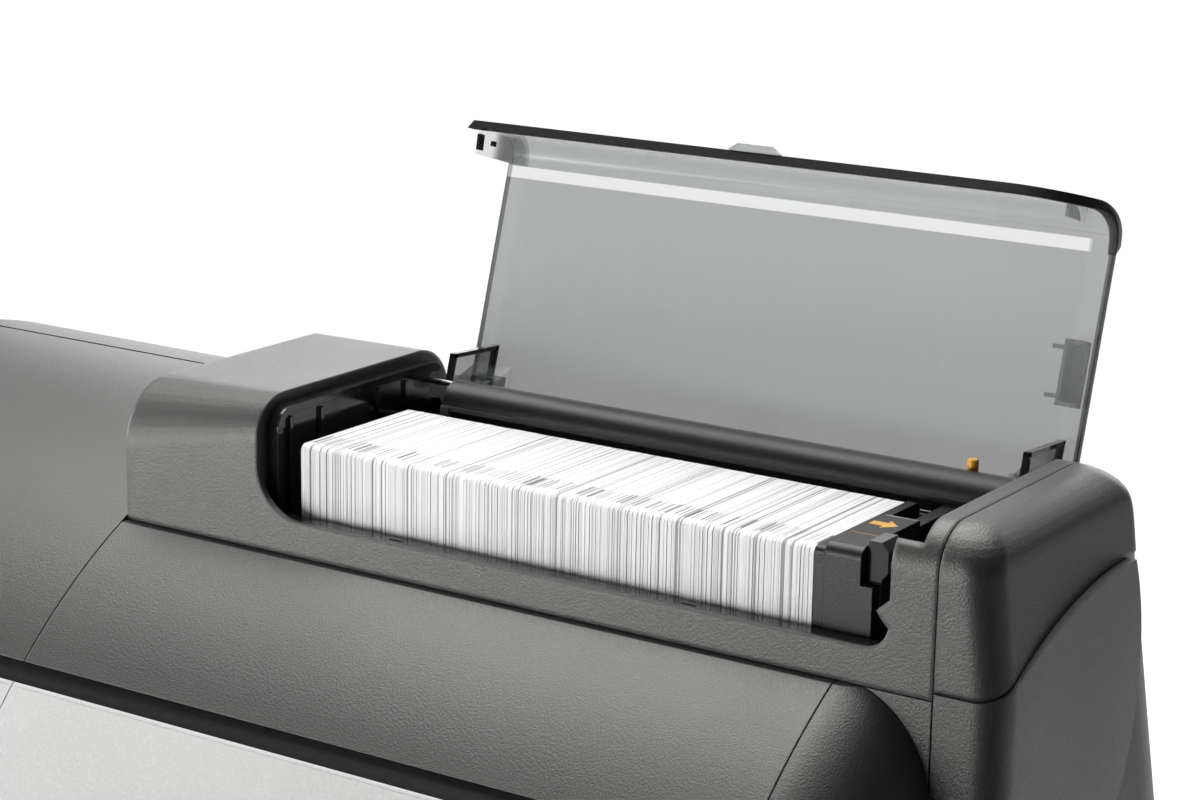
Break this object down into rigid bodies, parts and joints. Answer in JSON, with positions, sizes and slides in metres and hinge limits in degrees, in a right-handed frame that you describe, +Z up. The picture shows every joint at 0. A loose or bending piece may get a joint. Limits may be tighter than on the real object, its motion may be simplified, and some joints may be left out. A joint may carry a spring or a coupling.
{
  "type": "id card printer",
  "caption": "Desktop ID card printer: barrel-shaped body with hinged top cover and front door, and a long top hopper of cards under a hinged see-through lid.",
  "frame": {"origin": "middle of the footprint, on the table the feet stand on", "axes": "+X to the right as seen from the front, +Y to the back, +Z up"},
  "size_m": [0.855, 0.37, 0.5531],
  "materials": {
    "casing": "fine textured dark grey moulding",
    "white_panel": "fine textured white moulding",
    "gloss_black": "polished black moulding",
    "black": "satin black moulding",
    "clear_lid": "smoke tinted see-through moulding",
    "yellow": "yellow moulding",
    "cards": "white plastic cards, edges showing",
    "steel": "plain sheet and bar",
    "rubber": "plain rubber",
    "cleaning": "tacky blue rubber",
    "heat_roller": "ground metal",
    "ribbon": "dark ribbon wound on its core",
    "film": "clear film wound on its core",
    "motor": "black painted can",
    "board": "green circuit board",
    "screen": "dark display glass"
  },
  "bodies": {
    "machine": {"base_pan": "steel", "feet": "rubber", "base_skirt": "casing", "rear_cover": "casing", "left_end_cap": "casing", "barrel_end_cap": "casing", "right_front_cover": "casing", "right_side_cover": "casing", "right_upper_cover": "casing", "right_rear_cover": "casing", "top_hinge_rod": "steel", "front_cover": "casing", "gap_strip": "gloss_black", "door_hinge_rod": "steel", "left_front_panel": "white_panel", "hopper_housing": "casing", "hopper_liner": "gloss_black", "hopper_floor": "gloss_black", "rear_rail": "black", "guide_rod": "steel", "card_stack": "cards", "hinge_pins": "steel", "hopper_frame": "steel", "engine_plates": "steel", "card_track": "black", "print_head": "black", "drive_motor": "motor", "drive_belt": "rubber", "power_supply": "steel", "main_board": "board", "fan_frame": "black", "power_inlet": "black", "data_ports": "steel", "display": "screen"},
    "lid": {"lid": "clear_lid", "lid_edge_strip": "gloss_black", "lid_grip": "clear_lid", "lid_catch": "clear_lid"},
    "pusher": {"card_pusher": "black", "pusher_plate": "black"},
    "top_cover": {"top_cover": "casing"},
    "front_door": {"front_door": "white_panel"},
    "release_pin": {"release_pin": "yellow"},
    "pusher_latch": {"pusher_latch": "gloss_black"},
    "pick_roller": {"pick_roller": "rubber"},
    "feed_roller": {"feed_roller": "rubber"},
    "cleaning_roller": {"cleaning_roller": "cleaning"},
    "platen_roller": {"platen_roller": "rubber"},
    "transfer_roller": {"transfer_roller": "heat_roller"},
    "exit_roller": {"exit_roller": "rubber"},
    "ribbon_supply": {"ribbon_supply": "ribbon"},
    "ribbon_takeup": {"ribbon_takeup": "ribbon"},
    "film_supply": {"film_supply": "film"},
    "film_takeup": {"film_takeup": "film"},
    "motor_gear": {"motor_gear": "steel"},
    "fan_rotor": {"fan_rotor": "black"},
    "power_switch": {"power_switch": "black"},
    "menu_button": {"menu_button": "black"},
    "select_button": {"select_button": "black"},
    "output_bin": {"output_bin": "gloss_black"}
  },
  "joints": [
    {"name": "lid_hinge", "type": "hinge", "parent": "machine", "child": "lid", "pos_m": [0.2205, 0.10467, 0.418], "axis": [1, 0, 0], "range_deg": [0, 106.5]},
    {"name": "top_cover_hinge", "type": "hinge", "parent": "machine", "child": "top_cover", "pos_m": [-0.17395, 0.128, 0.39382], "axis": [-1, 0, 0], "range_deg": [0, 70]},
    {"name": "front_door_hinge", "type": "hinge", "parent": "machine", "child": "front_door", "pos_m": [0.156, -0.17458, 0.0488], "axis": [1, 0, 0], "range_deg": [0, 80]},
    {"name": "pusher_slide", "type": "slide", "parent": "machine", "child": "pusher", "axis": [1, 0, 0], "range_m": [-0.258, 0], "deforming": ["card_stack"]},
    {"name": "latch_pivot", "type": "hinge", "parent": "pusher", "child": "pusher_latch", "pos_m": [0.3591, -0.00903, 0.392], "axis": [0, 1, 0], "range_deg": [0, 12], "stiffness_Nm_per_rad": 0.02},
    {"name": "release_press", "type": "slide", "parent": "machine", "child": "release_pin", "axis": [0, 0, 1], "range_m": [-0.003, 0], "stiffness_N_per_m": 200},
    {"name": "pick_spin", "type": "hinge", "parent": "machine", "child": "pick_roller", "pos_m": [0.044, 0.02277, 0.368], "axis": [0, 1, 0], "continuous": true},
    {"name": "feed_spin", "type": "hinge", "parent": "machine", "child": "feed_roller", "pos_m": [0.0385, 0.02277, 0.228], "axis": [0, 1, 0], "continuous": true},
    {"name": "cleaning_spin", "type": "hinge", "parent": "machine", "child": "cleaning_roller", "pos_m": [-0.0315, 0.02277, 0.228], "axis": [0, 1, 0], "continuous": true},
    {"name": "platen_spin", "type": "hinge", "parent": "machine", "child": "platen_roller", "pos_m": [-0.1065, 0.02277, 0.228], "axis": [0, 1, 0], "continuous": true},
    {"name": "transfer_spin", "type": "hinge", "parent": "machine", "child": "transfer_roller", "pos_m": [-0.1915, 0.02277, 0.259], "axis": [0, 1, 0], "continuous": true},
    {"name": "exit_spin", "type": "hinge", "parent": "machine", "child": "exit_roller", "pos_m": [-0.2665, 0.02277, 0.228], "axis": [0, 1, 0], "continuous": true},
    {"name": "ribbon_supply_spin", "type": "hinge", "parent": "machine", "child": "ribbon_supply", "pos_m": [-0.0645, 0.02277, 0.302], "axis": [0, 1, 0], "continuous": true},
    {"name": "ribbon_takeup_spin", "type": "hinge", "parent": "machine", "child": "ribbon_takeup", "pos_m": [-0.1325, 0.02277, 0.302], "axis": [0, 1, 0], "continuous": true},
    {"name": "film_supply_spin", "type": "hinge", "parent": "machine", "child": "film_supply", "pos_m": [-0.1955, 0.02277, 0.31], "axis": [0, 1, 0], "continuous": true},
    {"name": "film_takeup_spin", "type": "hinge", "parent": "machine", "child": "film_takeup", "pos_m": [-0.2535, 0.02277, 0.31], "axis": [0, 1, 0], "continuous": true},
    {"name": "motor_spin", "type": "hinge", "parent": "machine", "child": "motor_gear", "pos_m": [-0.1065, 0.08777, 0.186], "axis": [0, 1, 0], "continuous": true},
    {"name": "fan_spin", "type": "hinge", "parent": "machine", "child": "fan_rotor", "pos_m": [0.15, 0.17, 0.15], "axis": [0, 1, 0], "continuous": true},
    {"name": "switch_rock", "type": "hinge", "parent": "machine", "child": "power_switch", "pos_m": [-0.2105, 0.18, 0.06], "axis": [1, 0, 0], "range_deg": [0, 14]},
    {"name": "menu_press", "type": "slide", "parent": "machine", "child": "menu_button", "axis": [0, 0.884, -0.4675], "range_m": [0, 0.001], "stiffness_N_per_m": 400},
    {"name": "select_press", "type": "slide", "parent": "machine", "child": "select_button", "axis": [0, 0.884, -0.4675], "range_m": [0, 0.001], "stiffness_N_per_m": 400},
    {"name": "bin_lift", "type": "slide", "parent": "machine", "child": "output_bin", "axis": [0, 0, 1], "range_m": [0, 0.005]}
  ],
  "couplings": [
    {"joint": "feed_spin", "follows": "platen_spin", "ratio": 1},
    {"joint": "exit_spin", "follows": "platen_spin", "ratio": 1},
    {"joint": "motor_spin", "follows": "platen_spin", "ratio": -2.5}
  ]
}
